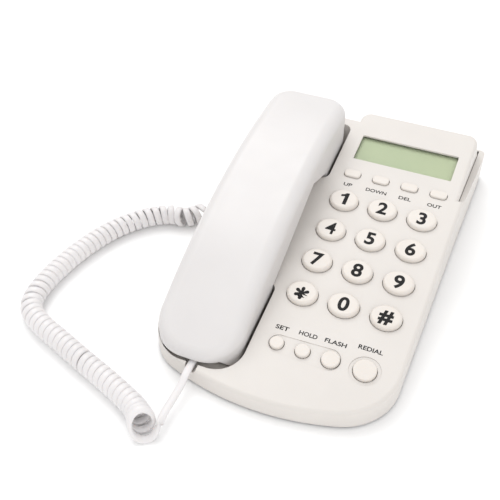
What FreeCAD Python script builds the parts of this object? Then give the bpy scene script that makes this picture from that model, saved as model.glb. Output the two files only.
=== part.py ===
import FreeCAD, Part
import math
import os
import Sketcher

# Corded desk telephone: a wedge-shaped base with a sloping deck of keys and a display, a handset
# that lies in two wells along the left side, and a curly cord from the handset to the base.
# Millimetres. X runs to the right, Y to the rear, Z up; the origin is the middle of the base's
# footprint, on the table. Every driving dimension is a cell of the "sizes" sheet.

# A size that starts with "=" follows others, so the pieces that meet stay together.
SIZES = {
    # base plan
    "case_front": 116.0, "case_rear": 116.0, "case_half": 65.3,
    "front_taper": 1.7, "wing_out": 1.2, "shoulder_step": 3.0,
    "case_front_half": "=case_half - front_taper", "wing_half": "=case_half + wing_out",
    "shoulder_half": "=case_half - shoulder_step",
    "front_arc_radius": 135.0, "corner_radius_left": 25.0, "corner_radius_right": 32.0,
    "shoulder_start_right": 38.0, "shoulder_start_left": 81.0,
    "case_wall": 2.4, "case_lift": 1.2, "case_gap": 0.3, "case_blank": 60.0, "edge_round": 2.0,
    # deck and rear slope
    "deck_height": 30.0, "deck_slope": 9.55, "deck_end": 81.0, "rear_grade": 0.70,
    "block_left": -9.8, "block_start": 60.0, "block_end": 90.0, "block_grade": 1.0,
    "block_corner": 6.0,
    # lower case
    "floor_thick": 2.2, "wing_wall": 2.6, "wing_high": 33.0, "wing_low": 19.0, "wing_blend": 95.0,
    "rear_corner": 5.0, "boss_radius": 3.9, "boss_height": 3.1,
    "floor_top": "=case_lift + floor_thick",
    # handset, placed from the case's left side, its front and the deck's height
    "hand_from_side": 3.8, "hand_from_front": 8.5, "hand_wide": 47.2,
    "hand_left": "=hand_from_side - case_half", "hand_right": "=hand_left + hand_wide",
    "hand_middle": "=hand_left + hand_wide / 2", "hand_front": "=hand_from_front - case_front",
    "hand_rear": 74.2, "hand_top": "=deck_height + 33", "hand_top_at": 55.0,
    "hand_top_radius": 310.0, "hand_wall": 2.2, "hand_round": 7.0,
    "hand_corner_front": "=hand_wide * 0.42", "hand_corner_rear": "=hand_wide * 0.28",
    "hand_mouth_face": "=deck_height - 23.2", "hand_mouth_end": -62.0,
    "hand_chin_high": 5.8, "hand_chin_deep": 4.0, "hand_chin_end": 8.0,
    "hand_chin_z": "=hand_mouth_face + hand_chin_high",
    "hand_grip_front": -53.0, "hand_grip_front_z": "=deck_height - 8.6",
    "hand_grip_top": 8.0, "hand_grip_top_z": "=deck_height + 16",
    "hand_grip_rear": 31.0, "hand_grip_rear_z": "=deck_height + 7.5",
    "hand_ear_face": "=deck_height - 1.4", "hand_ear_start": 34.0, "hand_parting": 11.5,
    "hand_blank": 90.0, "ear_y": 55.0, "ear_hole_radius": 1.1, "ear_ring_radius": 7.0,
    "receiver_radius": 14.5, "receiver_height": 9.0, "mouth_from_front": 23.5,
    "mouth_y": "=hand_front + mouth_from_front", "mouth_hole_pitch": 4.0,
    "microphone_radius": 6.0, "microphone_height": 5.5,
    "weight_wide": 20.0, "weight_long": 34.0, "weight_thick": 8.0, "weight_y": -30.0,
    "weight_z": "=deck_height + 10.5", "weight_tilt": 23.0,
    "hand_screw_back": 36.5, "hand_screw_y": "=hand_front + hand_screw_back",
    "hand_screw_sunk": 7.2, "hand_screw_seat": "=hand_mouth_face + hand_screw_sunk",
    "hand_screw_long": 14.0, "hand_post_radius": 4.6,
    # wells: the handset and a clearance on every side
    "well_gap_left": 1.1, "well_gap_right": 1.7, "well_gap_front": 1.2, "well_gap_rear": 1.8,
    "well_gap_below": 0.6, "well_grip_gap": 3.0, "well_ear_gap": 2.0,
    "well_left": "=hand_left - well_gap_left", "well_right": "=hand_right + well_gap_right",
    "well_front": "=hand_front - well_gap_front",
    "well_front_end": "=hand_grip_front + well_grip_gap",
    "well_front_floor": "=hand_mouth_face - well_gap_below",
    "well_rear_start": "=hand_grip_rear - well_ear_gap",
    "well_rear_end": "=hand_rear + well_gap_rear",
    "well_rear_floor": "=hand_ear_face - well_gap_below",
    "well_corner_left": "=hand_corner_front + 3.5", "well_corner_right": "=hand_corner_front - 5",
    "well_corner_small": 5.0,
    # keys
    "key_middle": 24.5, "key_pitch_across": 22.5, "key_pitch_down": 22.88, "key_first_row": 16.0,
    "key_wide": 16.6, "key_deep": 14.7, "key_proud": 2.6, "key_round": 1.5,
    "key_gap": 0.3, "key_skirt": 0.9, "key_skirt_thick": 1.0, "key_bottom": 4.0,
    "menu_key_wide": 9.6, "menu_key_deep": 5.6, "menu_key_corner": 2.3, "menu_key_proud": 1.3,
    "menu_key_first": 0.1, "menu_key_pitch": 16.95, "menu_key_row": 37.9, "menu_key_round": 0.6,
    "line_key_row": -85.0, "line_key_proud": 1.5, "line_key_round": 0.7,
    "set_key_at": 0.2, "hold_key_at": 13.9, "flash_key_at": 28.5, "redial_key_at": 46.0,
    "set_key_radius": 3.7, "hold_key_radius": 3.85, "flash_key_radius": 4.7,
    "redial_key_radius": 5.9, "dish_depth": 0.3, "dish_margin": 1.6, "redial_dish_margin": 2.2,
    "redial_dish_radius": "=redial_key_radius + redial_dish_margin",
    # display
    "window_middle": 25.5, "window_row": 61.1, "window_wide": 58.6, "window_deep": 20.8,
    "window_corner": 0.8, "lens_sunk": 1.2, "lens_thick": 1.2, "lens_lip": 1.0, "lens_gap": 0.15,
    "panel_lip_across": 2.2, "panel_lip_along": 3.1, "panel_thick": 2.9,
    "panel_wide": "=window_wide + 2 * panel_lip_across",
    "panel_deep": "=window_deep + 2 * panel_lip_along",
    "display_board_wide": "=panel_wide + 1", "display_board_deep": "=panel_deep + 3",
    "board_thick": 1.5, "stack_gap": 0.2,
    # key board
    "pad_gap": 0.5, "pad_top": "=key_bottom + key_skirt_thick + pad_gap", "pad_thick": 1.0,
    "pad_left": -6.5, "pad_right": 52.0, "pad_front": -95.5, "pad_rear": 42.5,
    "board_margin": 1.5,
    # screws and feet
    "screw_radius": 1.45, "screw_length": 9.0, "screw_head_radius": 2.8, "screw_head_thick": 1.9,
    "screw_gap": 0.15, "post_wall": 1.45, "post_radius": "=screw_radius + post_wall",
    "post_gap": 0.1, "post_bottom": "=floor_top + boss_height + post_gap",
    "screw_one_x": 57.6, "screw_one_y": -20.0, "screw_two_x": -54.0, "screw_two_y": -42.0,
    "screw_three_x": 52.0, "screw_three_y": 92.0, "screw_four_x": -40.0, "screw_four_y": 92.0,
    "foot_radius": 6.0, "foot_sunk": 0.6, "foot_height": "=case_lift + foot_sunk",
    "foot_front_x": 45.0, "foot_front_y": -88.0, "foot_rear_x": 52.0, "foot_rear_y": 104.0,
    # ringer, ballast, hook switch
    "ringer_x": 25.0, "ringer_y": 72.0, "ringer_radius": 17.0, "ringer_height": 6.0,
    "ringer_magnet_radius": 9.0, "ringer_magnet_height": 5.0, "ringer_slot_long": 20.0,
    "ringer_slot_wide": 1.8, "ringer_slot_pitch": 4.4,
    "ballast_x": -36.0, "ballast_y": -18.0, "ballast_wide": 40.0, "ballast_deep": 36.0,
    "ballast_thick": 4.5,
    "hook_y": 41.0, "hook_wide": 12.0, "hook_deep": 4.4, "hook_corner": 1.8,
    "hook_gap": 0.3, "hook_gap_above": 0.3, "hook_long": 12.3,
    "hook_top": "=hand_ear_face - hook_gap_above", "hook_bottom": "=hook_top - hook_long",
    "hook_collar_low": "=hook_bottom + 1.5", "hook_collar_thick": 1.6, "hook_collar_wide": 1.4,
    "switch_wide": 16.0, "switch_deep": 9.0, "bracket_thick": 3.0, "bracket_margin": 3.0,
    "switch_bottom": "=floor_top + bracket_thick",
    # sockets and plugs
    "plug_wide": 7.7, "plug_high": 6.0, "plug_long": 14.5, "plug_out": 3.2, "plug_corner": 0.8,
    "socket_hole_wide": "=plug_wide + 2.2", "socket_hole_high": "=plug_high + 0.9",
    "socket_wide": "=socket_hole_wide + 2.5", "socket_high": "=socket_hole_high + 3.1",
    "socket_gap": 0.2, "socket_deep": 14.0, "socket_hole_deep": 12.0,
    "base_socket_y": 12.4, "base_socket_z": 10.2, "line_socket_x": 30.0, "line_socket_z": 10.6,
    "hand_plug_wide": 7.7, "hand_plug_high": 4.4, "hand_plug_long": 9.0, "hand_plug_out": 1.5,
    "hand_socket_from_left": 25.9, "hand_socket_x": "=hand_left + hand_socket_from_left",
    "hand_socket_up": 3.6, "hand_socket_z": "=hand_mouth_face + hand_socket_up",
    "hand_socket_back": 6.0, "hand_socket_y": "=hand_front + hand_socket_back",
    "hand_socket_wide": "=hand_plug_wide + 2.7", "hand_socket_high": "=hand_plug_high + 1.4",
    "hand_socket_deep": 10.0,
    # curly cord and its notch in the front rim
    "cord_radius": 1.95, "coil_radius": 5.9, "coil_axis_height": 6.0, "cord_gap": 0.1,
    "cord_lead": 3.3, "notch_reach": 2.4,
    "cord_shift": "=65.3 - case_half", "notch_half": 3.3, "notch_right": 0.6,
    "notch_middle": "=hand_socket_x + notch_right",
    "notch_floor": "=hand_socket_z - cord_radius - 3 * cord_gap",
}

doc = FreeCAD.newDocument("Telephone")
parts = {}


def make_sheet():
    """Write every size or formula into a cell of its own, named by its alias."""
    cells = doc.addObject("Spreadsheet::Sheet", "sizes")
    for row, (name, value) in enumerate(SIZES.items(), start=1):
        cells.set("A%d" % row, name)
        cells.set("B%d" % row, str(value))
        cells.setAlias("B%d" % row, name)
    doc.recompute()
    return cells


sheet = make_sheet()


def cell(name):
    """Number held by a cell."""
    return float(getattr(sheet, name))


def expression(text):
    """Turn a formula that names cells as @name into one that FreeCAD reads."""
    return text.replace("@", "sizes.")


def number(text):
    """Value of a formula that names cells as @name."""
    return float(sheet.evalExpression(expression(text)))


def bind(thing, field, text):
    """Tie one property of an object to a formula."""
    thing.setExpression(field, expression(text))


# ---------------------------------------------------------------- bodies, sketches and features

def new_body(label):
    """An empty body."""
    body = doc.addObject("PartDesign::Body", label)
    body.Label = label
    return body


def keep(label, thing):
    """Register a finished sub-part."""
    thing.Label = label
    parts[label] = thing
    return thing


def place(body, x="0", y="0", z="0", tilt=None):
    """Put a body in the telephone's frame; tilt turns it about X."""
    if tilt is not None:
        body.Placement.Rotation = FreeCAD.Rotation(FreeCAD.Vector(1, 0, 0), number(tilt))
        bind(body, "Placement.Rotation.Angle", tilt)
    bind(body, "Placement.Base.x", x)
    bind(body, "Placement.Base.y", y)
    bind(body, "Placement.Base.z", z)


def place_on_deck(body, across="0", along="0", above="0"):
    """Put a body on the sloping deck, its own Z along the deck's normal."""
    y = "(%s) * cos(@deck_slope) - (%s) * sin(@deck_slope)" % (along, above)
    z = "@deck_height + (%s) * sin(@deck_slope) + (%s) * cos(@deck_slope)" % (along, above)
    place(body, across, y, z, "@deck_slope")


def new_sketch(body, name, plane="XY_Plane", offset="0", on_deck=False):
    """A sketch on one of the body's own planes, or on the deck's plane."""
    sketch = body.newObject("Sketcher::SketchObject", name)
    origin_plane = [item for item in body.Origin.OriginFeatures if item.Role == plane][0]
    sketch.AttachmentSupport = (origin_plane, [""])
    sketch.MapMode = "FlatFace"
    if on_deck:
        turn = FreeCAD.Rotation(FreeCAD.Vector(1, 0, 0), number("@deck_slope"))
        sketch.AttachmentOffset = FreeCAD.Placement(FreeCAD.Vector(0, 0, 0), turn)
        bind(sketch, "AttachmentOffset.Rotation.Angle", "@deck_slope")
        bind(sketch, "AttachmentOffset.Base.y", "-(%s) * sin(@deck_slope)" % offset)
        bind(sketch, "AttachmentOffset.Base.z", "@deck_height + (%s) * cos(@deck_slope)" % offset)
    else:
        bind(sketch, "AttachmentOffset.Base.z", offset)
    return sketch


def fix(sketch, kind, item, point, text):
    """One dimension of a sketch, tied to a formula."""
    if kind in ("DistanceX", "DistanceY"):
        constraint = Sketcher.Constraint(kind, -1, 1, item, point, number(text))
    else:
        constraint = Sketcher.Constraint(kind, item, number(text))
    index = sketch.addConstraint(constraint)
    bind(sketch, "Constraints[%d]" % index, text)


def arc_between(start, finish, radius, bulge):
    """An anticlockwise arc; it runs from finish to start when it bulges to the left."""
    chord = finish - start
    height = math.sqrt(radius ** 2 - (chord.Length / 2) ** 2)
    outward = FreeCAD.Vector(chord.y, -chord.x, 0).normalize() * bulge
    centre = (start + finish) * 0.5 - outward * height
    first, last = (start, finish) if bulge > 0 else (finish, start)
    begin = math.atan2(first.y - centre.y, first.x - centre.x)
    end = math.atan2(last.y - centre.y, last.x - centre.x)
    if end < begin:
        end += 2 * math.pi
    circle = Part.Circle(centre, FreeCAD.Vector(0, 0, 1), radius)
    return Part.ArcOfCircle(circle, begin, end)


def draw_outline(sketch, corners, arcs=None):
    """A closed outline through the corners. arcs gives, for the side that starts at a corner,
    the arc's radius and +1 when it bulges to the right of its direction, -1 to the left."""
    arcs = arcs or {}
    first = sketch.GeometryCount
    points = [FreeCAD.Vector(number(x), number(y), 0) for x, y in corners]
    count = len(points)
    ends = []
    for side in range(count):
        start, finish = points[side], points[(side + 1) % count]
        if side in arcs:
            radius_text, bulge = arcs[side]
            sketch.addGeometry(arc_between(start, finish, number(radius_text), bulge), False)
            ends.append((1, 2) if bulge > 0 else (2, 1))
        else:
            sketch.addGeometry(Part.LineSegment(start, finish), False)
            ends.append((1, 2))
    for side in range(count):
        following = (side + 1) % count
        sketch.addConstraint(Sketcher.Constraint(
            "Coincident", first + side, ends[side][1], first + following, ends[following][0]))
    for side, (x, y) in enumerate(corners):
        fix(sketch, "DistanceX", first + side, ends[side][0], x)
        fix(sketch, "DistanceY", first + side, ends[side][0], y)
    for side, (radius_text, _) in arcs.items():
        fix(sketch, "Radius", first + side, None, radius_text)


def draw_circle(sketch, x, y, radius):
    """A circle."""
    centre = FreeCAD.Vector(number(x), number(y), 0)
    up = FreeCAD.Vector(0, 0, 1)
    index = sketch.addGeometry(Part.Circle(centre, up, number(radius)), False)
    fix(sketch, "DistanceX", index, 3, x)
    fix(sketch, "DistanceY", index, 3, y)
    fix(sketch, "Radius", index, None, radius)


def draw_oval(sketch, x, y, wide, deep):
    """An ellipse whose long axis lies across the sketch."""
    centre = FreeCAD.Vector(number(x), number(y), 0)
    major = centre + FreeCAD.Vector(number(wide) / 2, 0, 0)
    minor = centre + FreeCAD.Vector(0, number(deep) / 2, 0)
    index = sketch.addGeometry(Part.Ellipse(major, minor, centre), False)
    sketch.exposeInternalGeometry(index)
    sketch.addConstraint(Sketcher.Constraint("Horizontal", index + 1))
    fix(sketch, "DistanceX", index, 3, x)
    fix(sketch, "DistanceY", index, 3, y)
    fix(sketch, "Distance", index + 1, None, wide)
    fix(sketch, "Distance", index + 2, None, deep)


def draw_rounded(sketch, low, high, radii):
    """A rectangle with a radius of its own at each corner, anticlockwise from low left."""
    (x0, y0), (x1, y1) = low, high
    signs = ((x0, y0, 1, 1), (x1, y0, -1, 1), (x1, y1, -1, -1), (x0, y1, 1, -1))
    centres = []
    arcs = []
    for turn, ((x, y, sx, sy), radius) in enumerate(zip(signs, radii)):
        cx = "(%s) + (%s) * (%d)" % (x, radius, sx)
        cy = "(%s) + (%s) * (%d)" % (y, radius, sy)
        centre = FreeCAD.Vector(number(cx), number(cy), 0)
        circle = Part.Circle(centre, FreeCAD.Vector(0, 0, 1), number(radius))
        begin = math.pi + turn * math.pi / 2
        arcs.append(sketch.addGeometry(
            Part.ArcOfCircle(circle, begin, begin + math.pi / 2), False))
        centres.append((cx, cy))
    for turn in range(4):
        start = sketch.Geometry[arcs[turn]].EndPoint
        finish = sketch.Geometry[arcs[(turn + 1) % 4]].StartPoint
        line = sketch.addGeometry(Part.LineSegment(start, finish), False)
        sketch.addConstraint(Sketcher.Constraint("Tangent", arcs[turn], 2, line, 1))
        sketch.addConstraint(Sketcher.Constraint("Tangent", line, 2, arcs[(turn + 1) % 4], 1))
    for arc, (cx, cy), radius in zip(arcs, centres, radii):
        fix(sketch, "DistanceX", arc, 3, cx)
        fix(sketch, "DistanceY", arc, 3, cy)
        fix(sketch, "Radius", arc, None, radius)


def draw_box(sketch, x, y, wide, deep):
    """A plain rectangle about a centre."""
    x0, x1 = "(%s) - (%s) / 2" % (x, wide), "(%s) + (%s) / 2" % (x, wide)
    y0, y1 = "(%s) - (%s) / 2" % (y, deep), "(%s) + (%s) / 2" % (y, deep)
    draw_outline(sketch, [(x0, y0), (x1, y0), (x1, y1), (x0, y1)])


def pad(body, sketch, length, middle=False, backwards=False):
    """Add material."""
    feature = body.newObject("PartDesign::Pad", sketch.Name + "_pad")
    feature.Profile = sketch
    feature.Midplane = middle
    feature.Reversed = backwards
    bind(feature, "Length", length)
    body.Tip = feature
    doc.recompute()
    return feature


def pocket(body, sketch, length, middle=False, backwards=False):
    """Remove material, and make sure that some was removed."""
    before = body.Shape.Volume
    feature = body.newObject("PartDesign::Pocket", sketch.Name + "_pocket")
    feature.Profile = sketch
    feature.Midplane = middle
    feature.Reversed = backwards
    bind(feature, "Length", length)
    body.Tip = feature
    doc.recompute()
    if "Invalid" in feature.State or body.Shape.Volume > before - 1e-6:
        raise ValueError("nothing was cut by " + feature.Name)
    return feature


def fillet(body, name, picks, radius):
    """Round the edges of the body's last feature that picks accepts."""
    base = body.Tip
    edges = ["Edge%d" % (index + 1) for index, edge in enumerate(base.Shape.Edges) if picks(edge)]
    feature = body.newObject("PartDesign::Fillet", name)
    feature.Base = (base, edges)
    bind(feature, "Radius", radius)
    body.Tip = feature
    doc.recompute()
    if "Invalid" in feature.State or not edges:
        raise ValueError("could not round " + name)
    return feature


def pattern(body, feature, sketch, axis, length, occurrences, backwards=False):
    """Repeat a feature along one axis of a sketch."""
    repeat = body.newObject("PartDesign::LinearPattern", feature.Name + "_row")
    repeat.Originals = [feature]
    repeat.Direction = (sketch, [axis])
    repeat.Reversed = backwards
    bind(repeat, "Length", length)
    repeat.Occurrences = occurrences
    body.Tip = repeat
    doc.recompute()
    return repeat


def is_upright(edge):
    """True for a straight edge along Z."""
    if not isinstance(edge.Curve, Part.Line):
        return False
    return abs(edge.tangentAt(edge.FirstParameter).z) > 0.999


def upright_near(x, y, reach=1.0):
    """Accept upright edges near a point of the plan."""
    at = FreeCAD.Vector(number(x), number(y), 0)

    def picks(edge):
        spot = edge.Vertexes[0].Point
        return is_upright(edge) and math.hypot(spot.x - at.x, spot.y - at.y) < reach
    return picks


def at_height(z, reach=0.01):
    """Accept edges that lie at one height."""
    def picks(edge):
        box = edge.BoundBox
        return abs(box.ZMin - z) < reach and abs(box.ZMax - z) < reach
    return picks


# ---------------------------------------------------------------- the case

def deck(y):
    """Height of the deck's plane at a distance along the telephone."""
    return "(@deck_height + (%s) * tan(@deck_slope))" % y


def front_edge(half, inset):
    """Where the front arc ends, at a half width."""
    return ("(@front_arc_radius - @case_front - sqrt((@front_arc_radius - %s)^2 - (%s)^2))"
            % (inset, half))


def ridge(end, grade, inset):
    """Corner of the side profile where the deck turns down to the rear."""
    y = ("((%s) + (%s) * (sqrt(1 + tan(@deck_slope)^2) - sqrt(1 + (%s)^2))"
         " / (tan(@deck_slope) + (%s)))" % (end, inset, grade, grade))
    z = "(%s - (%s) * sqrt(1 + tan(@deck_slope)^2))" % (deck(y), inset)
    return y, z


def case_block(label, inset):
    """The wedge of the upper case, solid. The inset version is its hollow inside."""
    body = new_body(label)
    side = "(@case_front_half - %s)" % inset
    wide = "(@case_half - %s)" % inset
    narrow = "(@shoulder_half - %s)" % inset
    rear = "(@case_rear - @wing_wall - @case_gap - %s)" % inset
    front_y = front_edge(side, inset)
    step_right = "(@shoulder_start_right - %s)" % inset
    step_left = "(@shoulder_start_left - %s)" % inset
    lift = "@case_lift" if inset == "0" else "@case_lift - 1"
    plan = new_sketch(body, label + "_plan", offset=lift)
    draw_outline(plan, [
        ("-" + side, front_y), (side, front_y), (wide, step_right), (narrow, step_right),
        (narrow, rear), ("-" + narrow, rear), ("-" + narrow, step_left), ("-" + wide, step_left),
    ], {0: ("@front_arc_radius - %s" % inset, 1)})
    pad(body, plan, "@case_blank")
    for sign, radius in (("-", "@corner_radius_left"), ("", "@corner_radius_right")):
        fillet(body, label + "_corner", upright_near(sign + side, front_y),
               "%s - %s" % (radius, inset))
    cut_above_profile(body, label, inset)
    add_display_block(body, label, inset)
    return body


def cut_above_profile(body, label, inset):
    """Trim the block to the deck's plane and the rear slope."""
    far = "(@case_rear + 20)"
    front = "(-@case_front - 20)"
    top = "(@case_blank + 20)"
    ridge_y, ridge_z = ridge("@deck_end", "@rear_grade", inset)
    rear_z = "(%s - @rear_grade * (%s - %s))" % (ridge_z, far, ridge_y)
    front_z = "(%s - (%s - %s) * tan(@deck_slope))" % (ridge_z, ridge_y, front)
    profile = new_sketch(body, label + "_profile", "YZ_Plane")
    draw_outline(profile, [(front, front_z), (ridge_y, ridge_z), (far, rear_z), (far, top),
                           (front, top)])
    pocket(body, profile, "@case_half * 3", middle=True)


def add_display_block(body, label, inset):
    """The head that carries the display runs further back than the deck beside it."""
    ridge_y, ridge_z = ridge("@block_end", "@block_grade", inset)
    start_z = "(%s - (%s - @block_start) * tan(@deck_slope))" % (ridge_z, ridge_y)
    rear = "(@case_rear - @wing_wall - @case_gap - %s)" % inset
    rear_z = "(%s - @block_grade * (%s - %s))" % (ridge_z, rear, ridge_y)
    low = "(@deck_height / 3)"
    middle = "((@block_left + @shoulder_half) / 2)"
    head = new_sketch(body, label + "_head", "YZ_Plane", offset=middle)
    draw_outline(head, [("@block_start", low), (rear, low), (rear, rear_z), (ridge_y, ridge_z),
                        ("@block_start", start_z)])
    pad(body, head, "@shoulder_half - @block_left - 2 * %s" % inset, middle=True)
    fillet(body, label + "_head_corner", is_head_corner, "@block_corner - %s" % inset)


def is_head_corner(edge):
    """True for the sloping corners between the display block's sides and its rear face."""
    first, last = edge.Vertexes[0].Point, edge.Vertexes[-1].Point
    level = abs(first.x - last.x) < 0.01
    sloping = abs(first.y - last.y) > 10 and abs(first.z - last.z) > 10
    behind = min(first.y, last.y) > cell("deck_end") + 3
    return isinstance(edge.Curve, Part.Line) and level and behind and sloping


def cut_well(body, label, low, high, floor, radii, inset):
    """A well for one end of the handset, or in the hollow the material round it."""
    grown_low = tuple("(%s) - %s" % (value, inset) for value in low)
    grown_high = tuple("(%s) + %s" % (value, inset) for value in high)
    well = new_sketch(body, label, offset="%s - %s" % (floor, inset))
    draw_rounded(well, grown_low, grown_high, ["%s + %s" % (radius, inset) for radius in radii])
    pocket(body, well, "@case_blank", backwards=True)


def cut_wells(body, label, inset):
    """Front well for the mouthpiece, rear well for the earpiece."""
    cut_well(body, label + "_mouth_well", ("@well_left", "@well_front"),
             ("@well_right", "@well_front_end"), "@well_front_floor",
             ("@well_corner_left", "@well_corner_right", "@well_corner_small",
              "@well_corner_small"), inset)
    cut_well(body, label + "_ear_well", ("@well_left", "@well_rear_start"),
             ("@well_right", "@well_rear_end"), "@well_rear_floor",
             ("@well_corner_small",) * 4, inset)


SCREWS = (("@screw_one_x", "@screw_one_y"), ("@screw_two_x", "@screw_two_y"),
          ("@screw_three_x", "@screw_three_y"), ("@screw_four_x", "@screw_four_y"))
LINE_KEYS = (("key_set", "@set_key_at", "@set_key_radius"),
             ("key_hold", "@hold_key_at", "@hold_key_radius"),
             ("key_flash", "@flash_key_at", "@flash_key_radius"),
             ("key_redial", "@redial_key_at", "@redial_key_radius"))
MENU_KEYS = ("key_up", "key_down", "key_del", "key_out")
DIAL_KEYS = (("key_1", "key_2", "key_3"), ("key_4", "key_5", "key_6"),
             ("key_7", "key_8", "key_9"), ("key_star", "key_0", "key_hash"))


def is_deck_rim(edge):
    """True for an edge of the deck's plane, apart from the ridge beside the display block."""
    tangent = math.tan(math.radians(cell("deck_slope")))
    ends = [vertex.Point for vertex in edge.Vertexes]
    for point in ends:
        if abs(point.z - cell("deck_height") - point.y * tangent) > 0.01:
            return False
    return any(abs(point.y - cell("deck_end")) > 0.3 for point in ends)


def cut_key_holes(body):
    """Holes in the deck for the keys and the display window, and the shallow dishes."""
    through = "@case_wall * 8"
    row = new_sketch(body, "dial_row", on_deck=True)
    for column in (-1, 0, 1):
        draw_oval(row, "@key_middle + (%d) * @key_pitch_across" % column, "@key_first_row",
                  "@key_wide + 2 * @key_gap", "@key_deep + 2 * @key_gap")
    holes = pocket(body, row, through, middle=True)
    pattern(body, holes, row, "V_Axis", "3 * @key_pitch_down", 4, backwards=True)
    menu = new_sketch(body, "menu_row", on_deck=True)
    grow = "@key_gap"
    x, y = "@menu_key_first", "@menu_key_row"
    half_wide, half_deep = "(@menu_key_wide / 2 + @key_gap)", "(@menu_key_deep / 2 + @key_gap)"
    draw_rounded(menu, ("%s - %s" % (x, half_wide), "%s - %s" % (y, half_deep)),
                 ("%s + %s" % (x, half_wide), "%s + %s" % (y, half_deep)),
                 ("@menu_key_corner + " + grow,) * 4)
    hole = pocket(body, menu, through, middle=True)
    pattern(body, hole, menu, "H_Axis", "3 * @menu_key_pitch", 4)
    dish = new_sketch(body, "line_key_dish", on_deck=True)
    small = "(@set_key_radius + @dish_margin)"
    large = "(@flash_key_radius + @dish_margin)"
    draw_outline(dish, [
        ("@set_key_at", "@line_key_row - " + small), ("@flash_key_at", "@line_key_row - " + large),
        ("@flash_key_at", "@line_key_row + " + large), ("@set_key_at", "@line_key_row + " + small),
    ], {1: (large + " * 1.02", 1), 3: (small + " * 1.02", 1)})
    pocket(body, dish, "2 * @dish_depth", middle=True)
    round_dish = new_sketch(body, "redial_dish", on_deck=True)
    draw_circle(round_dish, "@redial_key_at", "@line_key_row", "@redial_dish_radius")
    pocket(body, round_dish, "2 * @dish_depth", middle=True)
    line = new_sketch(body, "line_row", on_deck=True)
    for _, at, radius in LINE_KEYS:
        draw_circle(line, at, "@line_key_row", radius + " + @key_gap")
    pocket(body, line, through, middle=True)


def cut_window(body):
    """Display window, with a wider seat behind it for the lens."""
    window = new_sketch(body, "window", on_deck=True)
    half_wide, half_deep = "@window_wide / 2", "@window_deep / 2"
    draw_rounded(window, ("@window_middle - " + half_wide, "@window_row - " + half_deep),
                 ("@window_middle + " + half_wide, "@window_row + " + half_deep),
                 ("@window_corner",) * 4)
    pocket(body, window, "@case_wall * 6", middle=True)
    seat = new_sketch(body, "window_seat", on_deck=True, offset="-@lens_sunk")
    grow = "2 * (@lens_lip + @lens_gap)"
    draw_box(seat, "@window_middle", "@window_row", "@window_wide + " + grow,
             "@window_deep + " + grow)
    pocket(body, seat, "@case_wall * 3")


def cut_case_openings(body):
    """Cord notch in the front rim, hook slot, socket opening and the screws' pilot holes."""
    notch = new_sketch(body, "cord_notch", "XZ_Plane", offset="@case_front - 2")
    left, right = "@notch_middle - @notch_half", "@notch_middle + @notch_half"
    shoulder = "@notch_floor + @notch_half * 0.82"
    draw_outline(notch, [(left, shoulder), (right, shoulder), (right, "@case_blank"),
                         (left, "@case_blank")], {0: ("@notch_half * 1.02", 1)})
    pocket(body, notch, "@case_front * 0.25", middle=True)
    slot = new_sketch(body, "hook_slot")
    half_wide, half_deep = "(@hook_wide / 2 + @hook_gap)", "(@hook_deep / 2 + @hook_gap)"
    draw_rounded(slot, ("@hand_middle - " + half_wide, "@hook_y - " + half_deep),
                 ("@hand_middle + " + half_wide, "@hook_y + " + half_deep),
                 ("@hook_corner + @hook_gap",) * 4)
    pocket(body, slot, "@case_blank", backwards=True)
    socket = new_sketch(body, "socket_hole", "YZ_Plane", offset="-@case_half")
    draw_box(socket, "@base_socket_y", "@base_socket_z", "@socket_wide + 2 * @socket_gap",
             "@socket_high + 2 * @socket_gap")
    pocket(body, socket, "@socket_deep", middle=True)
    line = new_sketch(body, "line_socket_hole", "XZ_Plane", offset="-@case_rear")
    draw_box(line, "@line_socket_x", "@line_socket_z", "@socket_wide + 2 * @socket_gap",
             "@socket_high + 2 * @socket_gap")
    pocket(body, line, "@socket_deep", middle=True)
    cut_skirt_over_floor(body)
    pilot = new_sketch(body, "pilot_holes")
    for x, y in SCREWS:
        draw_circle(pilot, x, y, "@screw_radius + @screw_gap / 3")
    pocket(body, pilot, "@post_bottom + @screw_length - 1", backwards=True)


def cut_skirt_over_floor(body):
    """Shorten the skirt where the lower case's floor runs out under it to its wings."""
    skirt = new_sketch(body, "skirt_relief", offset="@case_lift - 1")
    right, left = "@shoulder_start_right", "@shoulder_start_left"
    inner = "(@shoulder_half - 2 * @case_wall)"
    outer = "(@wing_half + 5)"
    rear = "(@case_rear - @wing_wall - 3 * @case_wall)"
    draw_outline(skirt, [
        (inner, right), (outer, right), (outer, "@case_rear"), ("-" + outer, "@case_rear"),
        ("-" + outer, left), ("-" + inner, left), ("-" + inner, rear), (inner, rear),
    ])
    pocket(body, skirt, "@floor_thick + @case_gap + 1", backwards=True)


def make_upper_case():
    """Outer wedge less its hollow; posts for the screws stay where the hollow has holes."""
    outer = case_block("case_outer", "0")
    fillet(outer, "deck_rim", is_deck_rim, "@edge_round")
    cut_wells(outer, "outer", "0")
    cut_key_holes(outer)
    cut_window(outer)
    cut_case_openings(outer)
    inner = case_block("case_inner", "@case_wall")
    cut_wells(inner, "inner", "@case_wall")
    posts = new_sketch(inner, "posts", offset="@post_bottom")
    for x, y in SCREWS:
        draw_circle(posts, x, y, "@post_radius")
    pocket(inner, posts, "@case_blank", backwards=True)
    shell = doc.addObject("Part::Cut", "upper_case")
    shell.Base = outer
    shell.Tool = inner
    doc.recompute()
    keep("upper_case", shell)


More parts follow.
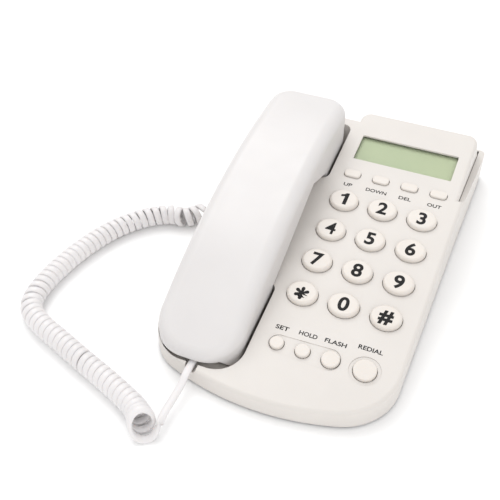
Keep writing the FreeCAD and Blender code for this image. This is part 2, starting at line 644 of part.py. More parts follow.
def make_lower_case():
    """Floor inside the upper case's skirt, with wings and a rear wall outside it."""
    body = new_body("lower_case")
    gap = "(@case_wall + @case_gap)"
    side = "(@case_front_half - %s)" % gap
    wide = "(@case_half - %s)" % gap
    narrow = "(@shoulder_half - %s)" % gap
    right, left = "@shoulder_start_right", "@shoulder_start_left"
    front_y = front_edge(side, gap)
    floor = new_sketch(body, "floor", offset="@case_lift")
    draw_outline(floor, [
        ("-" + side, front_y), (side, front_y), (wide, right + " - " + gap),
        (narrow, right + " - " + gap), (narrow, right + " + @case_gap"),
        ("@case_half", right + " + @case_gap"), ("@wing_half", "@wing_blend"),
        ("@wing_half", "@case_rear"), ("-@wing_half", "@case_rear"),
        ("-@wing_half", "@wing_blend"), ("-@case_half", left + " + @case_gap"),
        ("-" + narrow, left + " + @case_gap"), ("-" + narrow, left + " - " + gap),
        ("-" + wide, left + " - " + gap),
    ], {0: ("@front_arc_radius - " + gap, 1)})
    pad(body, floor, "@floor_thick")
    for sign, radius in (("-", "@corner_radius_left"), ("", "@corner_radius_right")):
        fillet(body, "floor_corner", upright_near(sign + side, front_y), "%s - %s" % (radius, gap))
    inside = "(@shoulder_half + @case_gap)"
    rear = "(@case_rear - @wing_wall)"
    wings = new_sketch(body, "wings", offset="@case_lift")
    start_right = "@shoulder_start_right + @case_gap"
    start_left = "@shoulder_start_left + @case_gap"
    draw_outline(wings, [
        (inside, start_right), ("@case_half", start_right), ("@wing_half", "@wing_blend"),
        ("@wing_half", "@case_rear"), ("-@wing_half", "@case_rear"),
        ("-@wing_half", "@wing_blend"), ("-@case_half", start_left), ("-" + inside, start_left),
        ("-" + inside, rear), (inside, rear),
    ])
    pad(body, wings, "@wing_high")
    top = new_sketch(body, "wing_top", "YZ_Plane")
    low, high = "@shoulder_start_right", "@case_rear"
    draw_outline(top, [(low, "@wing_high"), (high, "@wing_low"), (high + " + 10", "@wing_low"),
                       (high + " + 10", "@wing_high * 2"), (low + " - 10", "@wing_high * 2"),
                       (low + " - 10", "@wing_high")])
    pocket(body, top, "@case_half * 3", middle=True)
    for sign in ("", "-"):
        fillet(body, "rear_corner", upright_near(sign + "@wing_half", "@case_rear"),
               "@rear_corner")
    bosses = new_sketch(body, "bosses", offset="@floor_top")
    for x, y in SCREWS:
        draw_circle(bosses, x, y, "@boss_radius")
    pad(body, bosses, "@boss_height")
    cut_floor_openings(body)
    keep("lower_case", body)


def cut_floor_openings(body):
    """Screw holes with sunk heads, seats for the feet, ringer slots and the line socket."""
    holes = new_sketch(body, "screw_holes", offset="@case_lift")
    for x, y in SCREWS:
        draw_circle(holes, x, y, "@screw_radius + @screw_gap * 2")
    pocket(body, holes, "@case_blank", middle=True)
    heads = new_sketch(body, "screw_heads", offset="@case_lift")
    for x, y in SCREWS:
        draw_circle(heads, x, y, "@screw_head_radius + @screw_gap * 2")
    pocket(body, heads, "@floor_thick + @boss_height / 3", backwards=True)
    seats = new_sketch(body, "foot_seats", offset="@case_lift")
    for x, y in FEET:
        draw_circle(seats, x, y, "@foot_radius")
    pocket(body, seats, "@foot_sunk", backwards=True)
    slots = new_sketch(body, "ringer_slot", offset="@case_lift")
    first = "@ringer_y - 2 * @ringer_slot_pitch"
    draw_box(slots, "@ringer_x", first, "@ringer_slot_long", "@ringer_slot_wide")
    slot = pocket(body, slots, "@floor_thick * 2", backwards=True)
    pattern(body, slot, slots, "V_Axis", "4 * @ringer_slot_pitch", 5)
    line = new_sketch(body, "line_opening", "XZ_Plane", offset="-@case_rear")
    draw_box(line, "@line_socket_x", "@line_socket_z", "@socket_wide + 2 * @socket_gap",
             "@socket_high + 2 * @socket_gap")
    pocket(body, line, "@wing_wall * 3", middle=True)


FEET = (("@foot_front_x", "@foot_front_y"), ("-@foot_front_x", "@foot_front_y"),
        ("@foot_rear_x", "@foot_rear_y"), ("-@foot_rear_x", "@foot_rear_y"))


def make_feet():
    """Four rubber discs pressed into the floor's seats."""
    discs = []
    for index, (x, y) in enumerate(FEET):
        disc = doc.addObject("Part::Cylinder", "foot_%d" % (index + 1))
        bind(disc, "Radius", "@foot_radius")
        bind(disc, "Height", "@foot_height")
        bind(disc, "Placement.Base.x", x)
        bind(disc, "Placement.Base.y", y)
        discs.append(disc)
    group = doc.addObject("Part::Compound", "rubber_feet")
    group.Links = discs
    keep("rubber_feet", group)


def make_screw(name, x, y, z, radius, length, head_radius, head_thick):
    """One pan-head screw, its head below."""
    shank = doc.addObject("Part::Cylinder", name + "_shank")
    bind(shank, "Radius", radius)
    bind(shank, "Height", length + " + " + head_thick)
    head = doc.addObject("Part::Cylinder", name + "_head")
    bind(head, "Radius", head_radius)
    bind(head, "Height", head_thick)
    screw = doc.addObject("Part::Fuse", name)
    screw.Base = shank
    screw.Tool = head
    bind(screw, "Placement.Base.x", x)
    bind(screw, "Placement.Base.y", y)
    bind(screw, "Placement.Base.z", "%s - %s" % (z, head_thick))
    return screw


def make_case_screws():
    """Four screws up through the lower case into the posts."""
    seat = "(@floor_top + @boss_height / 3)"
    screws = [make_screw("case_screw_%d" % (index + 1), x, y, seat, "@screw_radius",
                         "@screw_length", "@screw_head_radius", "@screw_head_thick")
              for index, (x, y) in enumerate(SCREWS)]
    group = doc.addObject("Part::Compound", "case_screws")
    group.Links = screws
    keep("case_screws", group)


# ---------------------------------------------------------------- keys, display and boards

def add_skirt_and_cap(body, draw, proud):
    """A key: a skirt that can't pass the deck, and a cap that stands proud of it."""
    skirt = new_sketch(body, body.Name + "_skirt", offset="-@key_bottom")
    draw(skirt, "@key_skirt")
    pad(body, skirt, "@key_skirt_thick")
    cap = new_sketch(body, body.Name + "_cap", offset="-@key_bottom")
    draw(cap, "0")
    pad(body, cap, "@key_bottom + " + proud)


def make_dial_keys():
    """Twelve oval keys in four rows of three."""
    for row, names in enumerate(DIAL_KEYS):
        for column, name in enumerate(names):
            body = new_body(name)

            def draw(sketch, grow):
                draw_oval(sketch, "0", "0", "@key_wide + 2 * %s" % grow,
                          "@key_deep + 2 * %s" % grow)
            add_skirt_and_cap(body, draw, "@key_proud")
            fillet(body, name + "_round", at_height(cell("key_proud")), "@key_round")
            place_on_deck(body, "@key_middle + (%d) * @key_pitch_across" % (column - 1),
                          "@key_first_row - %d * @key_pitch_down" % row)
            keep(name, body)


def make_menu_keys():
    """Four small rounded keys below the display."""
    for index, name in enumerate(MENU_KEYS):
        body = new_body(name)

        def draw(sketch, grow):
            half_wide = "(@menu_key_wide / 2 + %s)" % grow
            half_deep = "(@menu_key_deep / 2 + %s)" % grow
            draw_rounded(sketch, ("-" + half_wide, "-" + half_deep), (half_wide, half_deep),
                         ("@menu_key_corner + " + grow,) * 4)
        add_skirt_and_cap(body, draw, "@menu_key_proud")
        fillet(body, name + "_round", at_height(cell("menu_key_proud")), "@menu_key_round")
        place_on_deck(body, "@menu_key_first + %d * @menu_key_pitch" % index, "@menu_key_row")
        keep(name, body)


def make_line_keys():
    """Four round keys along the front of the deck."""
    for name, at, radius in LINE_KEYS:
        body = new_body(name)

        def draw(sketch, grow):
            draw_circle(sketch, "0", "0", "%s + %s" % (radius, grow))
        add_skirt_and_cap(body, draw, "@line_key_proud")
        fillet(body, name + "_round", at_height(cell("line_key_proud")), "@line_key_round")
        place_on_deck(body, at, "@line_key_row")
        keep(name, body)


def make_deck_slab(label, x, y, wide, deep, bottom, thick):
    """A flat piece that lies parallel to the deck."""
    body = new_body(label)
    outline = new_sketch(body, label + "_outline")
    draw_box(outline, "0", "0", wide, deep)
    pad(body, outline, thick)
    place_on_deck(body, x, y, "-(%s)" % bottom)
    return keep(label, body)


def make_display():
    """Clear lens behind the window, display panel behind the lens, board behind the panel."""
    lens_bottom = "@lens_sunk + @lens_thick"
    make_deck_slab("display_lens", "@window_middle", "@window_row",
                   "@window_wide + 2 * @lens_lip", "@window_deep + 2 * @lens_lip",
                   lens_bottom, "@lens_thick")
    panel_bottom = lens_bottom + " + @stack_gap + @panel_thick"
    make_deck_slab("display_panel", "@window_middle", "@window_row", "@panel_wide",
                   "@panel_deep", panel_bottom, "@panel_thick")
    make_deck_slab("display_board", "@window_middle", "@window_row", "@display_board_wide",
                   "@display_board_deep", panel_bottom + " + @board_thick", "@board_thick")


def make_key_boards():
    """Rubber key pad on the main circuit board, both under the keys."""
    x, y = "(@pad_left + @pad_right) / 2", "(@pad_front + @pad_rear) / 2"
    wide, deep = "@pad_right - @pad_left", "@pad_rear - @pad_front"
    pad_bottom = "@pad_top + @pad_thick"
    make_deck_slab("key_pad_rubber", x, y, wide, deep, pad_bottom, "@pad_thick")
    make_deck_slab("main_board", x, y, wide + " + 2 * @board_margin",
                   deep + " + 2 * @board_margin", pad_bottom + " + @board_thick", "@board_thick")


# ---------------------------------------------------------------- inside the base

def make_box_part(label, x, y, z, wide, deep, high):
    """A plain block, given by the middle of its underside."""
    block = doc.addObject("Part::Box", label)
    bind(block, "Length", wide)
    bind(block, "Width", deep)
    bind(block, "Height", high)
    bind(block, "Placement.Base.x", "%s - (%s) / 2" % (x, wide))
    bind(block, "Placement.Base.y", "%s - (%s) / 2" % (y, deep))
    bind(block, "Placement.Base.z", z)
    return block


def make_ballast():
    """Steel plate on the floor."""
    keep("ballast_plate", make_box_part(
        "ballast_plate", "@ballast_x", "@ballast_y", "@floor_top",
        "@ballast_wide", "@ballast_deep", "@ballast_thick"))


def make_ringer():
    """Small loudspeaker over the floor's slots: a basket with its magnet on top."""
    body = new_body("ringer_speaker")
    basket = new_sketch(body, "basket")
    draw_circle(basket, "0", "0", "@ringer_radius")
    pad(body, basket, "@ringer_height")
    magnet = new_sketch(body, "magnet", offset="@ringer_height")
    draw_circle(magnet, "0", "0", "@ringer_magnet_radius")
    pad(body, magnet, "@ringer_magnet_height")
    place(body, "@ringer_x", "@ringer_y", "@floor_top")
    keep("ringer_speaker", body)


def make_hook():
    """Plunger through the ear well's floor, and the switch it presses."""
    body = new_body("hook_plunger")
    stem = new_sketch(body, "stem", offset="@hook_bottom")
    half_wide, half_deep = "@hook_wide / 2", "@hook_deep / 2"
    draw_rounded(stem, ("-" + half_wide, "-" + half_deep), (half_wide, half_deep),
                 ("@hook_corner",) * 4)
    pad(body, stem, "@hook_top - @hook_bottom")
    fillet(body, "stem_round", at_height(cell("hook_top")), "@hook_corner / 3")
    collar = new_sketch(body, "collar", offset="@hook_collar_low")
    draw_rounded(collar, ("-%s - @hook_collar_wide" % half_wide,
                          "-%s - @hook_collar_wide" % half_deep),
                 (half_wide + " + @hook_collar_wide", half_deep + " + @hook_collar_wide"),
                 ("@hook_corner",) * 4)
    pad(body, collar, "@hook_collar_thick")
    place(body, "@hand_middle", "@hook_y")
    keep("hook_plunger", body)
    keep("hook_switch", make_box_part(
        "hook_switch", "@hand_middle", "@hook_y", "@switch_bottom", "@switch_wide", "@switch_deep",
        "@hook_bottom - @switch_bottom"))
    keep("switch_bracket", make_box_part(
        "switch_bracket", "@hand_middle", "@hook_y", "@floor_top",
        "@switch_wide + 6", "@switch_deep + 4", "@switch_bottom - @case_lift - @floor_thick"))


def make_socket(label, wide, high, deep, hole_wide, hole_high, hole_deep):
    """A modular socket. Its mouth is at its own origin and faces its own -Y."""
    body = new_body(label)
    shell = new_sketch(body, label + "_shell", "XZ_Plane")
    draw_box(shell, "0", "0", wide, high)
    pad(body, shell, deep, backwards=True)
    mouth = new_sketch(body, label + "_mouth", "XZ_Plane")
    draw_box(mouth, "0", "0", hole_wide, hole_high)
    pocket(body, mouth, hole_deep)
    return keep(label, body)


def make_sockets():
    """Cord socket in the base's left side and line socket in its rear wall."""
    base = make_socket("base_cord_socket", "@socket_wide", "@socket_high", "@socket_deep",
                       "@socket_hole_wide", "@socket_hole_high", "@socket_hole_deep")
    turn_about_z(base, -90, "-@case_half + 1", "@base_socket_y", "@base_socket_z")
    line = make_socket("line_socket", "@socket_wide", "@socket_high", "@socket_deep",
                       "@socket_hole_wide", "@socket_hole_high", "@socket_hole_deep")
    turn_about_z(line, 180, "@line_socket_x", "@case_rear", "@line_socket_z")


def turn_about_z(body, degrees, x, y, z):
    """Turn a body about Z and put it at a point."""
    body.Placement.Rotation = FreeCAD.Rotation(FreeCAD.Vector(0, 0, 1), degrees)
    bind(body, "Placement.Base.x", x)
    bind(body, "Placement.Base.y", y)
    bind(body, "Placement.Base.z", z)


# ---------------------------------------------------------------- the handset

def crown(y, inset):
    """Height of the handset's arched back at a distance along the telephone."""
    return ("(@hand_top - @hand_top_radius + sqrt((@hand_top_radius - (%s))^2"
            " - ((%s) - @hand_top_at)^2))" % (inset, y))


def mitre(before, corner, after, inset):
    """Corner of a line that runs to the rear, moved up by the same distance from both sides."""
    if inset == "0":
        return corner
    normals = []
    for (y0, z0), (y1, z1) in ((before, corner), (corner, after)):
        long = "sqrt((%s - %s)^2 + (%s - %s)^2)" % (y1, y0, z1, z0)
        normals.append(("((%s - %s) / %s)" % (z0, z1, long), "((%s - %s) / %s)" % (y1, y0, long)))
    (ny, nz), (my, mz) = normals
    share = "(%s / (1 + %s * %s + %s * %s))" % (inset, ny, my, nz, mz)
    return ("%s + (%s + %s) * %s" % (corner[0], ny, my, share),
            "%s + (%s + %s) * %s" % (corner[1], nz, mz, share))


def handset_block(label, inset):
    """The handset, solid. The inset version is its hollow inside."""
    body = new_body(label)
    left, right = "(@hand_left + %s)" % inset, "(@hand_right - %s)" % inset
    front, rear = "(@hand_front + %s)" % inset, "(@hand_rear - %s)" % inset
    plan = new_sketch(body, label + "_plan")
    front_radius = "(@hand_corner_front - %s)" % inset
    rear_radius = "(@hand_corner_rear - %s)" % inset
    draw_rounded(plan, (left, front), (right, rear),
                 (front_radius, front_radius, rear_radius, rear_radius))
    pad(body, plan, "@hand_blank")
    back = new_sketch(body, label + "_back", "YZ_Plane", offset="@hand_middle")
    far = "(@hand_rear + 10)"
    near = "(@hand_front - 10)"
    draw_outline(back, [(near, crown(near, inset)), (far, crown(far, inset)),
                        (far, "@hand_blank + 5"), (near, "@hand_blank + 5")],
                 {0: ("@hand_top_radius - %s" % inset, -1)})
    pocket(body, back, "@hand_blank", middle=True)
    fillet(body, label + "_back_round", on_back(inset), "@hand_round - %s" % inset)
    cut_below_underside(body, label, inset, near, far)
    return body


def cut_below_underside(body, label, inset, near, far):
    """Trim the block to its chin, mouth face, grip and ear face, from front to rear."""
    under = new_sketch(body, label + "_under", "YZ_Plane", offset="@hand_middle")
    low = "-10"
    line = [(near, "@hand_chin_z"), ("@hand_front + @hand_chin_deep", "@hand_chin_z"),
            ("@hand_front + @hand_chin_end", "@hand_mouth_face"),
            ("@hand_mouth_end", "@hand_mouth_face"),
            ("@hand_grip_front", "@hand_grip_front_z"), ("@hand_grip_top", "@hand_grip_top_z"),
            ("@hand_grip_rear", "@hand_grip_rear_z"), ("@hand_ear_start", "@hand_ear_face"),
            (far, "@hand_ear_face")]
    raised = [(near, "@hand_chin_z + " + inset)]
    raised += [mitre(*line[at - 1:at + 2], inset) for at in range(1, len(line) - 1)]
    raised += [(far, "@hand_ear_face + " + inset)]
    draw_outline(under, [(far, low), (near, low)] + raised)
    pocket(body, under, "@hand_blank", middle=True)


def on_back(inset):
    """Picks the edges of the handset's arched back."""
    radius = number("@hand_top_radius - " + inset)
    centre_y, centre_z = cell("hand_top_at"), number("@hand_top - @hand_top_radius")

    def picks(edge):
        span = edge.LastParameter - edge.FirstParameter
        points = [edge.valueAt(edge.FirstParameter + share * span) for share in (0.0, 0.5, 1.0)]
        return all(abs(math.hypot(point.y - centre_y, point.z - centre_z) - radius) < 0.01
                   for point in points)
    return picks


def make_handset_shells():
    """Hollow handset, split along an arc below its back into a top and a bottom shell."""
    outer = handset_block("handset_outer", "0")
    cut_handset_openings(outer)
    inner = handset_block("handset_inner", "@hand_wall")
    add_socket_bay(inner)
    keep_handset_post(inner)
    hollow = doc.addObject("Part::Cut", "handset_hollow")
    hollow.Base = outer
    hollow.Tool = inner
    above = new_body("above_parting")
    region = new_sketch(above, "parting", "YZ_Plane", offset="@hand_middle")
    near, far = "(@hand_front - 20)", "(@hand_rear + 20)"
    inset = "@hand_parting"
    draw_outline(region, [(near, crown(near, inset)), (far, crown(far, inset)),
                          (far, "@hand_blank + 5"), (near, "@hand_blank + 5")],
                 {0: ("@hand_top_radius - @hand_parting", -1)})
    pad(above, region, "@hand_blank", middle=True)
    top = doc.addObject("Part::Common", "handset_top")
    top.Base = hollow
    top.Tool = above
    bottom = doc.addObject("Part::Cut", "handset_bottom")
    bottom.Base = hollow
    bottom.Tool = above
    doc.recompute()
    keep("handset_top", top)
    keep("handset_bottom", bottom)


def cut_handset_openings(body):
    """Ear holes, mouth holes and the screw's hole."""
    through = "@hand_wall * 2"
    ear = new_sketch(body, "ear_holes", offset="@hand_ear_face")
    draw_circle(ear, "@hand_middle", "@ear_y", "@ear_hole_radius")
    for turn in range(6):
        angle = turn * 60
        draw_circle(ear, "@hand_middle + @ear_ring_radius * cos(%d)" % angle,
                    "@ear_y + @ear_ring_radius * sin(%d)" % angle, "@ear_hole_radius")
    pocket(body, ear, through, backwards=True)
    mouth = new_sketch(body, "mouth_holes", offset="@hand_mouth_face")
    for column in (-1, 0, 1):
        draw_circle(mouth, "@hand_middle + (%d) * @mouth_hole_pitch" % column, "@mouth_y",
                    "@ear_hole_radius")
    pocket(body, mouth, through, backwards=True)
    bore = new_sketch(body, "hand_screw_bore")
    draw_circle(bore, "@hand_middle", "@hand_screw_y", "@screw_radius + @screw_gap / 3")
    pocket(body, bore, "@hand_screw_seat + @hand_screw_long + 1", backwards=True)
    sink = new_sketch(body, "hand_screw_sink")
    draw_circle(sink, "@hand_middle", "@hand_screw_y", "@screw_head_radius + 2 * @screw_gap")
    pocket(body, sink, "@hand_screw_seat", backwards=True)


def add_socket_bay(body):
    """Room for the cord's socket, open through the slope behind the chin."""
    bay = new_sketch(body, "socket_bay", "XZ_Plane", offset="-(@hand_front + @hand_chin_deep)")
    draw_box(bay, "@hand_socket_x", "@hand_socket_z", "@hand_socket_wide + 2 * @socket_gap",
             "@hand_socket_high + 2 * @socket_gap")
    depth = "@hand_socket_back - @hand_chin_deep + @hand_socket_deep + @socket_gap"
    pad(body, bay, depth, backwards=True)


def keep_handset_post(body):
    """The post for the handset's screw stays as material: a hole in the hollow."""
    post = new_sketch(body, "hand_post")
    draw_circle(post, "@hand_middle", "@hand_screw_y", "@hand_post_radius")
    pocket(body, post, "@hand_blank", backwards=True)


def make_handset_insides():
    """Receiver, microphone, weight, socket and screws."""
    wall = "@hand_wall"
    receiver = doc.addObject("Part::Cylinder", "receiver_capsule")
    bind(receiver, "Radius", "@receiver_radius")
    bind(receiver, "Height", "@receiver_height")
    bind(receiver, "Placement.Base.x", "@hand_middle")
    bind(receiver, "Placement.Base.y", "@ear_y")
    bind(receiver, "Placement.Base.z", "@hand_ear_face + " + wall)
    keep("receiver_capsule", receiver)
    microphone = doc.addObject("Part::Cylinder", "microphone_capsule")
    bind(microphone, "Radius", "@microphone_radius")
    bind(microphone, "Height", "@microphone_height")
    bind(microphone, "Placement.Base.x", "@hand_middle")
    bind(microphone, "Placement.Base.y", "@mouth_y")
    bind(microphone, "Placement.Base.z", "@hand_mouth_face + " + wall)
    keep("microphone_capsule", microphone)
    weight = new_body("handset_weight")
    bar = new_sketch(weight, "weight_bar")
    draw_box(bar, "0", "0", "@weight_wide", "@weight_long")
    pad(weight, bar, "@weight_thick", middle=True)
    place(weight, "@hand_middle", "@weight_y", "@weight_z", "@weight_tilt")
    keep("handset_weight", weight)
    socket = make_socket("handset_socket", "@hand_socket_wide", "@hand_socket_high",
                         "@hand_socket_deep", "@hand_plug_wide + 2 * @socket_gap",
                         "@hand_plug_high + 2 * @socket_gap", "@hand_plug_long - 1")
    turn_about_z(socket, 0, "@hand_socket_x", "@hand_socket_y", "@hand_socket_z")
    keep("handset_screw", make_screw("handset_screw", "@hand_middle", "@hand_screw_y",
                                     "@hand_screw_seat", "@screw_radius", "@hand_screw_long",
                                     "@screw_head_radius", "@screw_head_thick"))


# ---------------------------------------------------------------- the curly cord

# Routes, chosen by hand, in millimetres. The coil lies on the table along the telephone's left.
COIL_ROUTE = (
    (-41.5, -148.5), (-47.2, -141.4), (-59.1, -135.7), (-73.7, -129.8), (-89.6, -124.2),
    (-107.5, -117.2), (-123.4, -111.6), (-134.4, -104.6), (-137.8, -94.0), (-137.9, -81.0),
    (-136.2, -66.0), (-132.8, -51.0), (-128.0, -37.0), (-121.4, -24.4), (-112.3, -13.2),
    (-99.6, -4.4), (-88.6, -5.0), (-83.2, 3.6),
)
# The handset's tail after it has left the plug, and the base's tail before it reaches its own.
HANDSET_TAIL_ROUTE = (
    (-35.3, -120.0, 8.2), (-36.0, -128.5, 6.4), (-36.4, -137.0, 6.0), (-35.7, -144.4, 5.4),
    (-36.4, -149.6, 2.8), (-40.2, -152.2, 2.8), (-45.4, -149.0, 4.6),
)
BASE_TAIL_ROUTE = ((-83.2, 3.6, 6.0), (-80.4, 8.06, 6.0), (-76.2, 12.0, 8.6))


def route_wire(name, points):
    """Straight runs joined by tangent arcs, each as large as its two runs allow."""
    stops = [FreeCAD.Vector(*point) for point in points]
    edges = []
    radii = []
    here = stops[0]
    for before, corner, after in zip(stops, stops[1:], stops[2:]):
        back = before - corner
        ahead = after - corner
        turn = math.pi - back.getAngle(ahead)
        reach = 0.45 * min(back.Length, ahead.Length)
        radii.append(reach / math.tan(turn / 2))
        start = corner + FreeCAD.Vector(back).normalize() * reach
        finish = corner + FreeCAD.Vector(ahead).normalize() * reach
        inward = (start + finish) * 0.5 - corner
        centre = corner + inward.normalize() * math.hypot(radii[-1], reach)
        middle = centre + (corner - centre).normalize() * radii[-1]
        edges.append(Part.LineSegment(here, start).toShape())
        edges.append(Part.Arc(start, middle, finish).toShape())
        here = finish
    edges.append(Part.LineSegment(here, stops[-1]).toShape())
    wire = Part.Wire(edges)
    print("%s: %.0f mm long, radii %s" % (name, wire.Length,
                                         " ".join("%.0f" % radius for radius in radii)))
    return wire


def make_tube(label, points, radius):
    """A round tube along a route."""
    wire = route_wire(label, points)
    start = FreeCAD.Vector(*points[0])
    along = FreeCAD.Vector(*points[1]) - start
    ring = Part.Wire(Part.makeCircle(radius, start, along))
    solid = wire.makePipeShell([ring], True, False)
    expected = math.pi * radius ** 2 * wire.Length
    if abs(solid.Volume / expected - 1) > 0.01:
        raise ValueError("bad tube: " + label)
    tube = doc.addObject("Part::Feature", label)
    tube.Shape = solid
    keep(label, tube)


def make_cord():
    """The coil as one fat tube, its two plain tails and their clear plugs."""
    shift = cell("cord_shift")
    coil = [(x + shift, y, cell("coil_axis_height")) for x, y in COIL_ROUTE]
    make_tube("curly_cord", coil, cell("coil_radius"))
    x, z = cell("hand_socket_x"), cell("hand_socket_z")
    start = number("@hand_socket_y - @hand_plug_out - @cord_gap")
    out = [(x, start, z), (x, number("@notch_reach - @case_front"), z)]
    make_tube("cord_tail_handset", out + [(px + shift, py, pz) for px, py, pz in HANDSET_TAIL_ROUTE],
              cell("cord_radius"))
    finish = number("-@case_half - @plug_out")
    y, z = cell("base_socket_y"), cell("base_socket_z")
    into = [(finish - cell("cord_lead"), y, z), (finish, y, z)]
    make_tube("cord_tail_base", [(px + shift, py, pz) for px, py, pz in BASE_TAIL_ROUTE] + into,
              cell("cord_radius"))
    plug = make_plug("cord_plug_handset", "@hand_plug_wide", "@hand_plug_high",
                     "@hand_plug_long")
    turn_about_z(plug, 0, "@hand_socket_x", "@hand_socket_y - @hand_plug_out", "@hand_socket_z")
    plug = make_plug("cord_plug_base", "@plug_wide", "@plug_high", "@plug_long")
    turn_about_z(plug, -90, "-@case_half - @plug_out", "@base_socket_y", "@base_socket_z")


def make_plug(label, wide, high, long):
    """A modular plug. Its cord end is at its own origin and faces its own -Y."""
    body = new_body(label)
    block = new_sketch(body, label + "_block", "XZ_Plane")
    half_wide, half_high = "(%s / 2)" % wide, "(%s / 2)" % high
    draw_rounded(block, ("-" + half_wide, "-" + half_high), (half_wide, half_high),
                 ("@plug_corner",) * 4)
    pad(body, block, long, backwards=True)
    return keep(label, body)


# ---------------------------------------------------------------- run and write

make_upper_case()
make_lower_case()
make_feet()
make_case_screws()
make_dial_keys()
make_menu_keys()
make_line_keys()
make_display()
make_key_boards()
make_ballast()
make_ringer()
make_hook()
make_sockets()
make_handset_shells()
make_handset_insides()
make_cord()

doc.recompute()
broken = [item.Label for item in doc.Objects if "Invalid" in item.State or "Error" in item.State]
if broken:
    raise ValueError("failed: " + ", ".join(broken))
os.makedirs("parts", exist_ok=True)
for label, thing in parts.items():
    if thing.Shape.isNull() or not thing.Shape.isValid():
        raise ValueError("bad shape: " + label)
    thing.Shape.exportStep("parts/%s.step" % label)
    print("%-20s %9.1f mm3  %d solids" % (label, thing.Shape.Volume, len(thing.Shape.Solids)))
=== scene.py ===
import math
import bmesh
import bpy
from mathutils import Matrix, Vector


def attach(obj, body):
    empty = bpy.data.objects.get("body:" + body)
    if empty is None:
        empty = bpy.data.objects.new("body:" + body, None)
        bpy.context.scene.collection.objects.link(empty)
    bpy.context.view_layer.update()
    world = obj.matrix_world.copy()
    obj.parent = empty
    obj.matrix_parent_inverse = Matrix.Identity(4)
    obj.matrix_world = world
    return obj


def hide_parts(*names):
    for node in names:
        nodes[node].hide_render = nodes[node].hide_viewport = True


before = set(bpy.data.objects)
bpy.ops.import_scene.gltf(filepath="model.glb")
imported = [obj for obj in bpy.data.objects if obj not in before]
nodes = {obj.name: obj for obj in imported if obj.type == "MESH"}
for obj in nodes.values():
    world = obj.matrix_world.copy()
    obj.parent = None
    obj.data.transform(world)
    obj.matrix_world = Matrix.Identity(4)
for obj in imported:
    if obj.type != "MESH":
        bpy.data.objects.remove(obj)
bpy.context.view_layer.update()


# ---------------------------------------------------------------- camera
# A long lens in front of the telephone and to its right, looking down on it.

camera_data = bpy.data.cameras.new("camera")
camera_data.sensor_width = 36.0
camera_data.lens = 57.3
camera = bpy.data.objects.new("camera", camera_data)
camera.location = (0.0887, -0.3291, 0.3206)
view_direction = Vector((-0.284, 0.6764, -0.6796))
camera.rotation_euler = view_direction.to_track_quat("-Z", "Y").to_euler()
bpy.context.scene.collection.objects.link(camera)
bpy.context.scene.camera = camera


# ---------------------------------------------------------------- curly cord
# Flat vinyl cord of four wires, wound into a coil with a plain tail at each end. It comes out of
# the handset's socket, lies on the table and goes into the base's left side. It is one swept
# mesh. The routes are the centre lines, in metres.

CORD_WIDE = 0.0039
CORD_THICK = 0.0022
COIL_RADIUS = 0.0059 - CORD_THICK / 2
COIL_HEIGHT = 0.006
TURN_PITCH = 0.0040
POINTS_PER_TURN = 28
FIRST_ANGLE = math.radians(120)
FLARE = 0.0015
FLARE_REACH = 0.0075
LEAN = 0.72
JOINT_REACH = 0.004
RING_GAP = 0.0008
RING_CORNERS = 12
HANDSET_TAIL = (
    (-0.0356, -0.1031, 0.0104), (-0.0356, -0.1136, 0.0104), (-0.0353, -0.1200, 0.0082),
    (-0.0360, -0.1285, 0.0064), (-0.0364, -0.1370, 0.0060),
)
COIL = (
    (-0.0415, -0.1485), (-0.0472, -0.1414), (-0.0591, -0.1357), (-0.0737, -0.1298),
    (-0.0896, -0.1242), (-0.1075, -0.1172), (-0.1234, -0.1116), (-0.1344, -0.1046),
    (-0.1378, -0.0940), (-0.1379, -0.0810), (-0.1362, -0.0660), (-0.1328, -0.0510),
    (-0.1280, -0.0370), (-0.1214, -0.0244), (-0.1123, -0.0132), (-0.0996, -0.0044),
    (-0.0886, -0.0050), (-0.0832, 0.0036),
)
BASE_TAIL = (
    (-0.0804, 0.00806, 0.0060), (-0.0762, 0.0120, 0.0086), (-0.0718, 0.0124, 0.0102),
    (-0.0685, 0.0124, 0.0102),
)


def tint(red, green, blue):
    """Linear colour from the screen values 0 to 255."""
    values = [channel / 255 for channel in (red, green, blue)]
    return [v / 12.92 if v <= 0.04045 else ((v + 0.055) / 1.055) ** 2.4 for v in values] + [1.0]


def new_material(name):
    """A material with its principled shader, its tree and object coordinates."""
    material = bpy.data.materials.new(name)
    material.use_nodes = True
    tree = material.node_tree
    place = tree.nodes.new("ShaderNodeTexCoord")
    return material, tree, tree.nodes["Principled BSDF"], place.outputs["Object"]


def noise(tree, place, scale, detail=3.0):
    """Fractal noise at a scale in cells per metre."""
    texture = tree.nodes.new("ShaderNodeTexNoise")
    texture.inputs["Scale"].default_value = scale
    texture.inputs["Detail"].default_value = detail
    tree.links.new(place, texture.inputs["Vector"])
    return texture.outputs["Fac"]


def spread(tree, value, low, high):
    """Map a noise onto a range."""
    remap = tree.nodes.new("ShaderNodeMapRange")
    remap.inputs["From Min"].default_value = 0.3
    remap.inputs["From Max"].default_value = 0.7
    remap.inputs["To Min"].default_value = low
    remap.inputs["To Max"].default_value = high
    tree.links.new(value, remap.inputs["Value"])
    return remap.outputs["Result"]


def blend_colours(tree, factor, first, second, target):
    """Mix two colours by a factor into a socket."""
    mix = tree.nodes.new("ShaderNodeMix")
    mix.data_type = "RGBA"
    mix.inputs["A"].default_value = first
    mix.inputs["B"].default_value = second
    tree.links.new(factor, mix.inputs["Factor"])
    tree.links.new(mix.outputs["Result"], target)


def add_bump(tree, shader, height, strength, distance=0.0001):
    """Surface relief."""
    bump = tree.nodes.new("ShaderNodeBump")
    bump.inputs["Strength"].default_value = strength
    bump.inputs["Distance"].default_value = distance
    tree.links.new(height, bump.inputs["Height"])
    tree.links.new(bump.outputs["Normal"], shader.inputs["Normal"])


